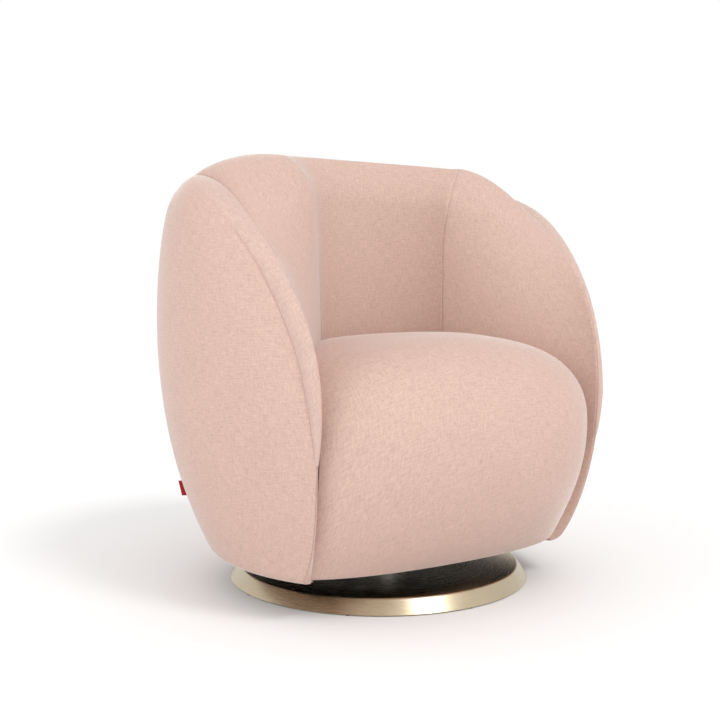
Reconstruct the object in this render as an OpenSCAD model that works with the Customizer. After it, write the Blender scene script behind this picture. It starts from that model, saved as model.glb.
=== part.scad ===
// Swivel glider tub chair.
// Origin: centre of the round base on the floor. +Z up, the sitter faces -Y.

/* [Base] */
// Radius of the round base at the floor
base_r = 275; // [240:1:300]
// Height of the base disc
base_h = 26; // [22:1:30]
// Inward slope of the base rim, from floor to top
base_bevel = 17.5; // [8:0.5:25]
// Wall of the pressed steel base
base_wall = 3; // [2:0.5:4]
// Felt pads under the base rim
pad_count = 8; // [4:1:12]

/* [Swivel and glide] */
// Radius of the fixed swivel post
post_r = 19; // [16:0.5:20]
// Radial running clearance of every turning fit
running_gap = 0.05; // [0.02:0.01:0.1]
// Balls in the thrust bearing
ball_count = 20; // [12:1:22]
// Length of each hanging link between its pivots
link_l = 115; // [105:1:120]
// Height of the upper pivots
upper_pivot_z = 240; // [235:1:245]
// Front and rear pivots stand this far from the swivel axis
pivot_y = 80; // [76:1:84]
// Distance from the centre to the inner face of a hanger plate
hanger_x = 112; // [105:1:115]
// Radius of a pivot pin
pin_r = 6; // [5:0.5:7]

/* [Upholstered tub] */
// Half width of the tub at its widest
body_r = 399; // [390:1:405]
// Underside of the tub above the floor
body_bottom = 62; // [58:1:66]
// Height of the widest point
belly_z = 470; // [450:1:480]
// Height of the back crest's inner edge at the centre
crest_z = 772; // [765:1:780]
// Width across the inner back at seat level, half
inner_back_r = 223; // [215:1:225]
// Furthest point of the seat front from the swivel axis
seat_front = 375; // [360:1:385]
// Crown of the seat above the floor
seat_top = 452; // [448:1:456]
// Cover with its wadding
cover_t = 5; // [4:0.5:6]

/* [Hidden] */
$fn = 64;

// ---- shape of the tub --------------------------------------------------------------
// Sections fan out from a vertical line fan_y in front of the swivel axis. A section's
// angle b is 0 at the back centre and grows towards the right arm.
fan_y = 153;
seam_b = 46.5;            // the long seams stand at this section angle
lower_draw = 81;          // how far the underside draws in below the belly
upper_draw = 30;          // how far the sides lean in up to the shoulder
shoulder_draw = 31;       // and how far the shoulder then rolls over
lean_forward = 30;        // the underside sits this far forward
lean_z = 428;
hem_r = 15;               // rounding of the bottom edge
back_flat = 0.035;        // the back is this much flatter than a circle
apex_z = 721;             // all long seams meet at the apex, on the shoulder
shoulder_rise = 18;
edge_drop = 15;           // the crest's inner edge falls this much, centre to seam
edge_out = [62, 50];      // and stands this far behind the inner wall, seam and centre
wall_draw = 31.5;         // the inner wall comes in this much, centre to seam
wall_seam_b = 43.4;       // the seam's section angle low on the inner wall
edge_seam_b = 48.3;       // and at the crest's inner edge
wall_low = 400;           // the inner wall is hidden behind the seat below this
wall_lean = 7;
roll_z = 91;              // height of the roll from the inner wall to the crest
front_roll = 24;          // the side panel turns in this much at the facing

function lerp(a, b, t) = a + (b - a) * t;
function clamp01(t) = min(max(t, 0), 1);
function smooth(t) = let (c = clamp01(t)) c * c * (3 - 2 * c);
function unit(v) = v / norm(v);
function bez(p, t) =
    len(p) == 1 ? p[0] : bez([for (i = [1 : len(p) - 1]) lerp(p[i - 1], p[i], t)], t);
function fan_pt(b, r, z) = [r * sin(b), r * cos(b) - fan_y, z];
function centre_share(b) = 1 - pow(min(abs(b) / seam_b, 1), 2);

function shoulder_z(b) = apex_z + shoulder_rise * centre_share(b);
function hem(z) =
    let (d = body_bottom + hem_r - z)
    d > 0 ? hem_r - sqrt(max(hem_r * hem_r - d * d, 0)) : 0;
function outer_radius(b, z) =
    let (
        low = (belly_z - z) / (belly_z - body_bottom),
        high = (z - belly_z) / (shoulder_z(b) - belly_z),
        r = z < belly_z
            ? body_r - lower_draw * pow(low, 2.5)
            : body_r - upper_draw * high * high - shoulder_draw * pow(high, 11)
    )
    (r - hem(z)) * (1 - back_flat * pow(centre_share(b), 2));
function outer_shift(z) = -lean_forward * max(0, (lean_z - z) / (lean_z - body_bottom));
function outer_r(b, z) =
    let (k = fan_y + outer_shift(z), r = outer_radius(b, z))
    k * cos(b) + sqrt(r * r - pow(k * sin(b), 2));

function wall_r(b) = inner_back_r - wall_draw * (1 - centre_share(b));
function edge_rz(b) = [wall_r(b) + lerp(edge_out[0], edge_out[1], centre_share(b)),
                       crest_z - edge_drop * (1 - centre_share(b))];
function apex_rz(b) = [outer_r(b, shoulder_z(b)), shoulder_z(b)];

// Inner part of a section as [r, z]: t = 0 at the seat, 0.45 where the roll starts,
// 0.6 at the crest's inner edge and 1 on the shoulder.
wall_share = 0.45;
edge_share = 0.6;
function inner_rz(b, t) =
    let (e = edge_rz(b), a = apex_rz(b), k = [wall_r(b) + wall_lean, e[1] - roll_z + 15],
         h = norm(a - e))
    t < wall_share
        ? let (s = t / wall_share)
          [wall_r(b) + wall_lean * s * s, lerp(wall_low, k[1], s)]
        : t < edge_share
        ? bez([k, k + [4, 33], e - [12, 1.4], e],
              (t - wall_share) / (edge_share - wall_share))
        : bez([e, e + 0.42 * h * [cos(7), sin(7)], a - 0.3 * h * [cos(38), -sin(38)], a],
              (t - edge_share) / (1 - edge_share));
function inner_pt(b, t) = let (p = inner_rz(b, t)) fan_pt(b, p[0], p[1]);
// Section angle of the long seam up the inner wall and over the crest.
function seam_angle(t) =
    wall_seam_b + (edge_seam_b - wall_seam_b) * smooth((t - 0.3) / 0.3)
    - (edge_seam_b - seam_b) * smooth((t - edge_share) / (1 - edge_share));
function outer_pt(b, z) = fan_pt(b, outer_r(b, z), z);

// Outer seam of the right arm facing, in side view [y, z]: apex to tip, tip to hem.
apex = outer_pt(seam_b, apex_z);
tip_yz = [-264, 290];
hem_yz = [-200, body_bottom];
upper_front = [[apex[1], apex_z], [-104, 705], [-253, 517], tip_yz];
lower_front = [tip_yz, [-264, 215], [-240, 130], hem_yz];
function on_side(p) =
    let (r = outer_radius(90, p[1]), d = p[0] - outer_shift(p[1]))
    [sqrt(r * r - d * d), p[0], p[1]];
function upper_seam(s) = on_side(bez(upper_front, s)) - [front_roll * pow(sin(180 * s), 2), 0, 0];
function front_seam(s) = s < 0.7 ? upper_seam(s / 0.7)
                                 : on_side(bez(lower_front, (s - 0.7) / 0.3));
tip = on_side(tip_yz);
// Inner seam of the facing, apex to tip.
inner_front = [apex, [389, -41, 767], [309, -166, 628], [284, -322, 450], tip];

// Side panel: rows at one height, from the rear seam to the front seam.
function side_pt(s, u) =
    let (f = front_seam(s), b = atan2(f[0], f[1] + fan_y))
    outer_pt(lerp(seam_b, b, u), f[2]) + (f - outer_pt(b, f[2])) * pow(u, 5);

// Facing: from the outer seam to the inner seam, with a crown.
facing_crown = 7;
function facing_pt(s, u) =
    let (a = upper_seam(s), b = bez(inner_front, s),
         out = unit([0.55, -0.6, 0.58 * (1 - s)]))
    lerp(a, b, u) + out * facing_crown * 4 * u * (1 - u) * min(1, norm(b - a) / 30);

// Inner arm panel: rows from the long seam to the facing's inner seam.
function arm_start_dir(t) =
    unit(lerp([0.545, -0.839, 0], [0.78, -0.56, -0.2], smooth((t - 0.3) / 0.3)));
function arm_end_dir(t) =
    unit(lerp([-0.25, 0.97, 0], [-0.3, 0.72, 0.6], smooth((t - 0.2) / 0.4)));
function inner_arm_pt(t, u) =
    let (a = inner_pt(seam_angle(t), t), b = bez(inner_front, 1 - t), h = 0.36 * norm(b - a))
    bez([a, a + h * arm_start_dir(t), b + h * arm_end_dir(t), b], u);
// Below the tip the panel is a strip between the front seam and the seat.
strip_gap = 4;
function strip_pt(s, u) =
    let (e = seat_line(seat_side, lerp(0.68, 0.97, s)))
    lerp(front_seam(0.7 + 0.28 * s) - [cover_t + 1, 0, 0], e + [strip_gap, 0, 0], u);

// ---- the seat ----------------------------------------------------------------------
// Centre line and side line of the seat's skin, from the back edge over the crown and
// down the front to the hem. v runs 0 to 1.
seat_back_y = 64;
seat_hem_z = 67;
seat_centre = [
    [[0, seat_back_y, 428], [0, -20, 452], [0, -120, seat_top], [0, -200, seat_top - 1]],
    [[0, -200, seat_top - 1], [0, -320, seat_top - 3], [0, -seat_front, 385],
     [0, -seat_front, 300]],
    [[0, -seat_front, 300], [0, -seat_front, 215], [0, -310, 120], [0, -234, seat_hem_z]]
];
seat_side = [
    [[126, -14, 424], [160, -62, 428], [196, -108, 428], [230, -156, 426]],
    [[230, -156, 426], [262, -200, 424], [276, -240, 380], [276, -245, 320]],
    [[276, -245, 320], [276, -250, 220], [266, -205, 130], [248, -174, seat_hem_z]]
];
seat_breaks = [0, 0.35, 0.65, 1];
function seat_line(line, v) =
    let (i = v < seat_breaks[1] ? 0 : v < seat_breaks[2] ? 1 : 2)
    bez(line[i], (v - seat_breaks[i]) / (seat_breaks[i + 1] - seat_breaks[i]));
function seat_pt(v, u) =
    let (c = seat_line(seat_centre, v), e = seat_line(seat_side, v), w = abs(u),
         fall = pow(w, 2.2))
    [e[0] * sin(u * 90) * 0.35 + e[0] * u * 0.65,
     lerp(c[1], e[1], fall), lerp(c[2], e[2], pow(w, 2.6))];

// ---- closed solids from grids ------------------------------------------------------
// A grid is a list of rows of points. The solid lies between depth d0 and depth d1
// below the grid's face; flip turns the face over.
function grid_normal(g, i, j, flip) =
    let (n = len(g) - 1, m = len(g[0]) - 1,
         di = g[min(i + 1, n)][j] - g[max(i - 1, 0)][j],
         dj = g[i][min(j + 1, m)] - g[i][max(j - 1, 0)],
         c = cross(di, dj))
    (flip ? -1 : 1) * c / max(norm(c), 1e-9);
function sunk(g, d, flip) =
    [for (i = [0 : len(g) - 1]) [for (j = [0 : len(g[0]) - 1])
        g[i][j] - d * grid_normal(g, i, j, flip)]];
function flat(rows) = [for (r = rows) for (p = r) p];
function quads(n, m, off, turn) =
    [for (i = [0 : n - 2]) for (j = [0 : m - 2])
        let (a = off + i * m + j, b = a + 1, c = a + m, d = c + 1)
        each (turn ? [[a, c, b], [b, c, d]] : [[a, b, c], [b, d, c]])];
function rim(n, m, turn) =
    let (loop = concat([for (j = [0 : m - 1]) j],
                       [for (i = [1 : n - 1]) i * m + m - 1],
                       [for (j = [m - 2 : -1 : 0]) (n - 1) * m + j],
                       [for (i = [n - 2 : -1 : 1]) i * m]),
         k = len(loop), o = n * m)
    [for (i = [0 : k - 1])
        let (a = loop[i], b = loop[(i + 1) % k])
        each (turn ? [[a, b, b + o], [a, b + o, a + o]]
                   : [[a, b + o, b], [a, a + o, b + o]])];
module skin(g, d0, d1, flip = false) {
    n = len(g);
    m = len(g[0]);
    top = sunk(g, d0, flip);
    low = sunk(g, d1, flip);
    polyhedron(points = concat(flat(top), flat(low)),
               faces = concat(quads(n, m, 0, flip), quads(n, m, n * m, !flip),
                              rim(n, m, flip)));
}
function steps(lo, hi, n) = [for (i = [0 : n]) lerp(lo, hi, i / n)];
module left_of() { mirror([1, 0, 0]) children(); }
module both_sides() { children(); mirror([1, 0, 0]) children(); }

// ---- base --------------------------------------------------------------------------
pad_t = 1.5;
rim_foot = 6;             // width of the flat foot under the rim
flange_r = 62;
flange_t = 6;
base_bolt_r = 4;
base_bolt_pcd = 96;
base_bolt_count = 4;
ballast_t = 12;
ballast_r = 225;

module on_bolt_circle() {
    for (i = [0 : base_bolt_count - 1])
        rotate(45 + i * 360 / base_bolt_count) translate([base_bolt_pcd / 2, 0, 0]) children();
}

module base_disc() {
    top_r = base_r - base_bevel;
    color([0.76, 0.69, 0.57]) difference() {
        rotate_extrude($fn = 128) polygon([
            [0, base_h - base_wall], [top_r - 2 * base_wall, base_h - base_wall],
            [base_r - rim_foot, pad_t + base_wall], [base_r - rim_foot, pad_t],
            [base_r - 1, pad_t], [base_r, pad_t + 1],
            [top_r + 1, base_h - 2], [top_r - 1, base_h], [0, base_h]]);
        on_bolt_circle() translate([0, 0, base_h - 2 * base_wall])
            cylinder(r = base_bolt_r + 0.5, h = 3 * base_wall);
    }
}
module ballast_plate() {
    color("dimgray") translate([0, 0, base_h - base_wall - ballast_t]) difference() {
        cylinder(r = ballast_r, h = ballast_t, $fn = 96);
        on_bolt_circle() translate([0, 0, -1]) cylinder(r = base_bolt_r + 0.5, h = ballast_t + 2);
    }
}
module floor_pads() {
    color("black") for (i = [0 : pad_count - 1]) rotate(i * 360 / pad_count)
        translate([base_r - rim_foot / 2 - 0.5, 0, 0]) cylinder(r = rim_foot / 2 - 0.5, h = pad_t);
}

race_in = 40;
race_out = 74;
race_t = 6;
ball_r = 3.5;
ball_ring_r = (race_in + race_out) / 2;
race_gap = 4;             // between the two races, the balls sit in grooves
race_z = base_h + flange_t;
upper_race_z = race_z + race_t + race_gap;
plate_z = upper_race_z + race_t;
plate_t = 6;
hub_out = 30;
bush_out = 23;
hub_top = plate_z + plate_t + 46;
hub_gap = 0.5;            // between the hub and the washer above it
thread_r = 10;

module swivel_post() {
    color("gray") difference() {
        union() {
            translate([0, 0, base_h]) cylinder(r = flange_r, h = flange_t);
            translate([0, 0, base_h]) cylinder(r = post_r, h = hub_top - base_h);
            translate([0, 0, hub_top]) cylinder(r = thread_r, h = 22);
        }
        on_bolt_circle() translate([0, 0, base_h - 1])
            cylinder(r = base_bolt_r + 0.5, h = flange_t + 2);
    }
}
module base_bolts() {
    shank = ballast_t + base_wall + flange_t;
    color("darkgray") on_bolt_circle() {
        translate([0, 0, base_h + flange_t - shank]) cylinder(r = base_bolt_r, h = shank);
        translate([0, 0, base_h + flange_t - shank - 5]) cylinder(r = 7.5, h = 5, $fn = 6);
    }
}
module race_ring(z, groove_z) {
    translate([0, 0, z]) difference() {
        cylinder(r = race_out, h = race_t, $fn = 96);
        translate([0, 0, -1]) cylinder(r = race_in, h = race_t + 2, $fn = 96);
        translate([0, 0, groove_z]) rotate_extrude($fn = 96)
            translate([ball_ring_r, 0]) circle(r = ball_r + running_gap, $fn = 32);
    }
}
module lower_race() {
    color("silver") race_ring(race_z, race_t + race_gap / 2);
}
module upper_race() { color("silver") race_ring(upper_race_z, -race_gap / 2); }
module bearing_balls() {
    color("lightgray") for (i = [0 : ball_count - 1]) rotate(i * 360 / ball_count)
        translate([ball_ring_r, 0, race_z + race_t + race_gap / 2]) sphere(r = ball_r, $fn = 24);
}
module ball_cage() {
    color("white") difference() {
        translate([0, 0, race_z + race_t + race_gap / 2 - 1]) difference() {
            cylinder(r = ball_ring_r + 6, h = 2, $fn = 96);
            translate([0, 0, -1]) cylinder(r = ball_ring_r - 6, h = 4, $fn = 96);
        }
        for (i = [0 : ball_count - 1]) rotate(i * 360 / ball_count)
            translate([ball_ring_r, 0, race_z + race_t]) cylinder(r = ball_r + 0.3, h = 5);
    }
}

// ---- swivel carriage ---------------------------------------------------------------
plate_y = 102;
hanger_t = 5;
hanger_foot = 22;
hanger_bolt_y = 60;
hanger_bolt_r = 4;
swing = 25;               // each way, in degrees
bumper_r = 6;
bush_wall = 3;
link_t = 8;
link_x = hanger_x + hanger_t + 2;
link_w = 30;
rail_x = link_x + link_t + 2;
rail_t = 5;
lower_pivot_z = upper_pivot_z - link_l;

module swivel_plate() {
    color("gray") difference() {
        union() {
            translate([-hanger_x, -plate_y, plate_z]) cube([2 * hanger_x, 2 * plate_y, plate_t]);
            translate([0, 0, plate_z]) cylinder(r = hub_out, h = hub_top - hub_gap - plate_z);
        }
        translate([0, 0, plate_z - 1]) cylinder(r = bush_out, h = hub_top - plate_z + 2);
        both_sides() for (y = [-1, 1])
            translate([hanger_x - hanger_foot / 2, y * hanger_bolt_y, plate_z - 1])
                cylinder(r = hanger_bolt_r, h = plate_t + 2);
    }
}
module hub_bush() {
    color("ivory") translate([0, 0, plate_z]) difference() {
        cylinder(r = bush_out, h = hub_top - hub_gap - plate_z);
        translate([0, 0, -1]) cylinder(r = post_r + running_gap, h = hub_top - plate_z + 2);
    }
}
module post_washer() {
    color("silver") translate([0, 0, hub_top]) difference() {
        cylinder(r = 28, h = 3);
        translate([0, 0, -1]) cylinder(r = thread_r, h = 5);
    }
}
module post_nut() {
    color("silver") translate([0, 0, hub_top + 3]) difference() {
        cylinder(r = 18, h = 12, $fn = 6);
        translate([0, 0, -1]) cylinder(r = thread_r, h = 14);
    }
}
module hanger_right() {
    top = upper_pivot_z + 18;
    low = plate_z + plate_t;
    color("gray") difference() {
        union() {
            translate([hanger_x, 0, 0]) rotate([90, 0, 90]) linear_extrude(hanger_t) difference() {
                polygon([[-plate_y, low], [plate_y, low], [plate_y, low + 20],
                         [pivot_y + 18, top], [-pivot_y - 18, top], [-plate_y, low + 20]]);
                polygon([[-58, low + 34], [58, low + 34], [50, low + 84], [-50, low + 84]]);
            }
            translate([hanger_x - hanger_foot, -plate_y, low])
                cube([hanger_foot + 1, 2 * plate_y, hanger_t]);
        }
        for (y = [-1, 1]) {
            translate([hanger_x - 1, y * pivot_y, upper_pivot_z]) rotate([0, 90, 0])
                cylinder(r = pin_r, h = hanger_t + 2);
            translate([hanger_x - hanger_foot / 2, y * hanger_bolt_y, low - 1])
                cylinder(r = hanger_bolt_r, h = hanger_t + 2);
        }
    }
}
module hanger_left() { left_of() hanger_right(); }
module hanger_bolts() {
    low = plate_z - 3;
    color("darkgray") both_sides() for (y = [-1, 1])
        translate([hanger_x - hanger_foot / 2, y * hanger_bolt_y, 0]) {
            translate([0, 0, low + 3]) cylinder(r = hanger_bolt_r, h = plate_t + hanger_t);
            translate([0, 0, plate_z + plate_t + hanger_t]) cylinder(r = 7, h = 5, $fn = 6);
        }
}
module upper_pivot_pins() {
    color("silver") both_sides() for (y = [-1, 1])
        translate([hanger_x, y * pivot_y, upper_pivot_z]) rotate([0, 90, 0]) {
            cylinder(r = pin_r, h = link_x + link_t - hanger_x + 0.5);
            translate([0, 0, -4]) cylinder(r = pin_r + 3, h = 4);
            translate([0, 0, link_x + link_t - hanger_x + 0.5]) cylinder(r = pin_r + 3, h = 2.5);
        }
}
// A link's edge rests against its bumper at the end of the glide.
module stop_bumpers() {
    along = 80;
    edge = link_w / 2 + bumper_r + 0.5;
    y = pivot_y - along * sin(swing) - edge * cos(swing);
    z = upper_pivot_z - along * cos(swing) + edge * sin(swing);
    color("black") both_sides() for (side = [-1, 1])
        translate([hanger_x + hanger_t, side * y, z]) rotate([0, 90, 0])
            cylinder(r = bumper_r, h = link_t + 1.5);
}

// ---- links -------------------------------------------------------------------------
module link_bar(y) {
    color("darkslategray") translate([link_x, y, 0]) rotate([90, 0, 90]) difference() {
        linear_extrude(link_t) difference() {
            union() {
                translate([0, upper_pivot_z]) circle(d = link_w);
                translate([0, lower_pivot_z]) circle(d = link_w);
                translate([-link_w / 2, lower_pivot_z]) square([link_w, link_l]);
            }
            translate([0, upper_pivot_z]) circle(r = pin_r + bush_wall);
            translate([0, lower_pivot_z]) circle(r = open_bore + bush_wall);
        }
    }
}
module link_bush_pair(y, lower_bore) {
    translate([link_x, y, 0]) rotate([90, 0, 90]) {
        translate([0, upper_pivot_z, 0]) bush_ring(running_bore, pin_r + bush_wall);
        translate([0, lower_pivot_z, 0]) bush_ring(lower_bore, open_bore + bush_wall);
    }
}
module bush_ring(r_in, r_out) {
    difference() {
        cylinder(r = r_out, h = link_t);
        translate([0, 0, -1]) cylinder(r = r_in, h = link_t + 2);
    }
}
running_bore = pin_r + running_gap;
open_bore = pin_r + 0.5;  // the rear lower pivots have free clearance
module link_front_right() { link_bar(-pivot_y); }
module link_front_left() { left_of() link_front_right(); }
module link_rear_right() { link_bar(pivot_y); }
module link_rear_left() { left_of() link_rear_right(); }
module front_link_bushes() {
    color("ivory") both_sides() link_bush_pair(-pivot_y, running_bore);
}
module rear_link_bushes() { color("ivory") both_sides() link_bush_pair(pivot_y, open_bore); }

// ---- glide carriage and seat box ---------------------------------------------------
rail_low = lower_pivot_z - 20;
rail_h = 40;
box_x = 170;
box_y = 177;
board_t = 18;
box_low = body_bottom + 18;
box_top = 290;
bar_y = 155;
bar_t = 22;
bar_bolt_r = 4;

module rail_right() {
    color("gray") difference() {
        translate([rail_x, -bar_y, rail_low]) cube([rail_t, 2 * bar_y, rail_h]);
        for (y = [-1, 1]) translate([rail_x - 1, y * pivot_y, lower_pivot_z]) rotate([0, 90, 0])
            cylinder(r = pin_r, h = rail_t + 2);
    }
}
module rail_left() { left_of() rail_right(); }
module lower_pivot_pins() {
    color("silver") both_sides() for (y = [-1, 1])
        translate([link_x - 0.5, y * pivot_y, lower_pivot_z]) rotate([0, 90, 0]) {
            cylinder(r = pin_r, h = rail_x + rail_t - link_x + 0.5);
            translate([0, 0, rail_x + rail_t - link_x + 0.5]) cylinder(r = pin_r + 3, h = 4);
        }
}
module cross_bar() {
    difference() {
        translate([-box_x, bar_y, rail_low + 5]) cube([2 * box_x, bar_t, rail_h - 10]);
        both_sides() translate([box_x - 30, bar_y + bar_t / 2, lower_pivot_z])
            rotate([0, 90, 0]) cylinder(r = bar_bolt_r, h = 31);
    }
}
module rear_cross_bar() { color("gray") cross_bar(); }
module front_cross_bar() { color("gray") mirror([0, 1, 0]) cross_bar(); }
module carriage_bolts() {
    color("darkgray") both_sides() for (y = [-1, 1])
        translate([box_x - 24, y * (bar_y + bar_t / 2), lower_pivot_z]) rotate([0, 90, 0]) {
            cylinder(r = bar_bolt_r, h = 24 + board_t);
            translate([0, 0, 24 + board_t]) cylinder(r = 8, h = 4);
        }
}
module box_side_right() {
    color("burlywood") difference() {
        translate([box_x, -box_y, box_low]) cube([board_t, 2 * box_y, box_top - box_low]);
        for (y = [-1, 1]) translate([box_x - 1, y * (bar_y + bar_t / 2), lower_pivot_z])
            rotate([0, 90, 0]) cylinder(r = bar_bolt_r + 0.3, h = board_t + 2);
    }
}
module box_side_left() { left_of() box_side_right(); }
module box_end() {
    translate([-box_x - board_t, box_y, box_low])
        cube([2 * (box_x + board_t), board_t, box_top - box_low]);
}
module box_rear() { color("burlywood") box_end(); }
module box_front() { color("burlywood") mirror([0, 1, 0]) box_end(); }
opening_x = 152;
opening_y = 165;
frame_low = body_bottom + 2;
frame_front = 150;        // the frame is narrower in front of this line
module underside(inset) {
    difference() {
        intersection() {
            translate([0, -lean_forward])
                circle(r = body_r - lower_draw - hem_r - inset, $fn = 96);
            union() {
                translate([-body_r, -frame_front]) square(2 * body_r);
                translate([-box_x - board_t, -box_y - board_t])
                    square(2 * (box_x + board_t));
            }
        }
        square([2 * opening_x, 2 * opening_y], center = true);
    }
}
module bottom_frame() {
    color("burlywood") translate([0, 0, frame_low]) linear_extrude(box_low - frame_low)
        underside(22);
}
module dust_cover() {
    color([0.1, 0.1, 0.1]) translate([0, 0, frame_low - 1]) linear_extrude(1) underside(26);
}

// ---- springs -----------------------------------------------------------------------
spring_count = 5;
spring_pitch = 70;
spring_wire = 1.9;
spring_wave = 22;
spring_waves = 9;
spring_z = box_top - 6;
spring_rings = 72;
function spring_at(t) = [spring_wave * sin(360 * spring_waves * t),
                         lerp(-box_y + 3, box_y - 3, t), spring_z + 6 * sin(180 * t)];
module seat_spring() {
    sides = 6;
    ring = [for (i = [0 : spring_rings])
        let (t = i / spring_rings, d = unit(spring_at(t + 0.002) - spring_at(t - 0.002)),
             w = unit(cross(d, [0, 0, 1])), up = cross(w, d))
        [for (k = [0 : sides - 1])
            spring_at(t) + spring_wire * (cos(k * 60) * w + sin(k * 60) * up)]];
    faces = concat(
        [for (i = [0 : spring_rings - 1]) for (k = [0 : sides - 1])
            let (a = i * sides + k, b = i * sides + (k + 1) % sides)
            each [[a, a + sides, b], [b, a + sides, b + sides]]],
        [for (k = [1 : sides - 2]) each [[0, k, k + 1],
            [spring_rings * sides, spring_rings * sides + k + 1, spring_rings * sides + k]]]);
    polyhedron(points = flat(ring), faces = faces);
}
module seat_springs() {
    color("silver") for (i = [0 : spring_count - 1])
        translate([(i - (spring_count - 1) / 2) * spring_pitch, 0, 0]) seat_spring();
}
module spring_clips() {
    color("dimgray") for (i = [0 : spring_count - 1]) for (y = [-1, 1])
        translate([(i - (spring_count - 1) / 2) * spring_pitch, y * (box_y + 9), box_top])
            translate([-9, -9, 0]) cube([18, 18, 2]);
}

// ---- foam, ribs and boards ---------------------------------------------------------
function seat_grid(v0, v1, nv, nu, shrink) =
    [for (v = steps(v0, v1, nv)) [for (u = steps(-1, 1, nu))
        let (p = seat_pt(v, u)) [p[0] * shrink, p[1], p[2]]]];
module seat_cover() {
    color([0.87, 0.75, 0.70]) skin(seat_grid(0, 1, 34, 28, 1), 0, cover_t);
}
// The block under the seat's crown, down to the springs.
module seat_foam() {
    g = sunk(seat_grid(0.03, 0.48, 16, 20, 0.98), cover_t + 1.5, false);
    floor_z = box_top + 12;
    low = [for (r = g) [for (p = r) [p[0] * 0.96, p[1] * 0.97, floor_z]]];
    n = len(g);
    m = len(g[0]);
    color([0.93, 0.9, 0.8]) polyhedron(points = concat(flat(g), flat(low)),
        faces = concat(quads(n, m, 0, false), quads(n, m, n * m, true), rim(n, m, false)));
}
// The roll in front of the seat box.
module seat_front_foam() {
    g = sunk(seat_grid(0.7, 0.97, 12, 20, 0.97), cover_t + 1.5, false);
    back = [for (r = g) [for (p = r) [p[0] * 0.95, -box_y - board_t - 0.5, p[2]]]];
    n = len(g);
    m = len(g[0]);
    color([0.93, 0.9, 0.8]) polyhedron(points = concat(flat(g), flat(back)),
        faces = concat(quads(n, m, 0, false), quads(n, m, n * m, true), rim(n, m, false)));
}

rib_t = 15;
rib_gap = 42;             // behind the inner wall's face
rib_inset = 19;           // inside the outer cover's face
rib_stand = 380;          // the rib's inner edge starts here
rail_z = 690;
rib_angles = [-40, -16, 16, 40];
// Where a section at angle b leaves a rectangle of half size x by y.
function leaves_box(b, x, y) = min((y + fan_y) / cos(b), x / abs(sin(b)));
module rib(b) {
    on_box = leaves_box(b, box_x + 2, box_y + 2);
    off_box = leaves_box(b, box_x + board_t + rib_t / 2, box_y + board_t + rib_t / 2);
    inner = [for (t = steps(0, 0.44, 4)) let (p = inner_rz(b, t)) [p[0] + rib_gap, p[1]]];
    outer = [for (z = steps(rail_z, box_low, 14)) [outer_r(b, z) - rib_inset, z]];
    rotate([90, 0, 90 - b]) translate([0, 0, -rib_t / 2]) linear_extrude(rib_t)
        polygon(concat([[on_box, box_top], [inner[0][0], rib_stand]], inner,
                       [[inner[4][0], rail_z]], outer, [[off_box, box_low],
                       [off_box, box_top]]));
}
module back_ribs() {
    color("burlywood") translate([0, -fan_y, 0]) for (b = rib_angles) rib(b);
}
module top_rail() {
    color("burlywood") translate([0, -fan_y, rail_z]) rotate(90 - 43)
        rotate_extrude(angle = 86, $fn = 96) translate([290, 0]) square([70, board_t]);
}
module back_foam() {
    g = [for (t = steps(0.08, 0.44, 8)) [for (b = steps(-44, 44, 14)) inner_pt(b, t)]];
    color([0.93, 0.9, 0.8]) skin(g, cover_t + 1, cover_t + 31, true);
}
function arm_grid(t0, t1, nt, u0, u1, nu) =
    [for (t = steps(t0, t1, nt)) [for (u = steps(u0, u1, nu)) inner_arm_pt(t, u)]];
module arm_foam_right() {
    color([0.93, 0.9, 0.8]) skin(arm_grid(0.1, 0.45, 8, 0.03, 0.72, 8), cover_t + 3,
                                 cover_t + 21, true);
}
module arm_foam_left() { left_of() arm_foam_right(); }
function side_grid(s0, s1, ns, u0, u1, nu) =
    [for (s = steps(s0, s1, ns)) [for (u = steps(u0, u1, nu)) side_pt(s, u)]];
module side_board_right() {
    color("burlywood") skin(side_grid(0.3, 0.93, 12, 0.05, 0.75, 10), cover_t + 1,
                            cover_t + 8, true);
}
module side_board_left() { left_of() side_board_right(); }

// ---- covers ------------------------------------------------------------------------
fabric = [0.87, 0.75, 0.70];
seam_gap = 0.2;           // degrees of section angle left open at a long seam
module back_cover() {
    ts = concat(steps(0.02, wall_share, 7), steps(0.49, edge_share, 4), steps(0.66, 1, 6));
    rows = concat(
        [for (t = ts) let (e = seam_angle(t) - seam_gap)
            [for (b = steps(-e, e, 18)) inner_pt(b, t)]],
        [for (k = steps(0.05, 1, 18)) let (e = seam_b - seam_gap)
            [for (b = steps(-e, e, 18))
                outer_pt(b, lerp(shoulder_z(b), body_bottom, k < 0.3 ? k * k / 0.3 : k))]]);
    color(fabric) skin(rows, 0, cover_t, true);
}
module inner_arm_cover_right() {
    strip = [for (s = steps(0, 1, 8)) [for (u = steps(0.34, 1, 3)) strip_pt(s, u)]];
    color(fabric) {
        skin(arm_grid(0.07, 0.97, 20, 0.01, 0.93, 12), 0, cover_t, true);
        skin(strip, 0, cover_t, true);
    }
}
module inner_arm_cover_left() { left_of() inner_arm_cover_right(); }
module arm_facing_right() {
    g = [for (s = steps(0.16, 0.86, 20)) [for (u = steps(0.24, 0.76, 4)) facing_pt(s, u)]];
    color(fabric) skin(g, 0, cover_t, true);
}
module arm_facing_left() { left_of() arm_facing_right(); }
module side_cover_right() {
    color(fabric) skin(side_grid(0.04, 1, 30, 0.012, 0.98, 14), 0, cover_t, true);
}
module side_cover_left() { left_of() side_cover_right(); }
tag_z = 176;
module side_tag() {
    p = outer_pt(-seam_b, tag_z);
    color("brown") translate(p) rotate(90 + seam_b) translate([-2, -1, -14]) cube([12, 2, 28]);
}

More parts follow.
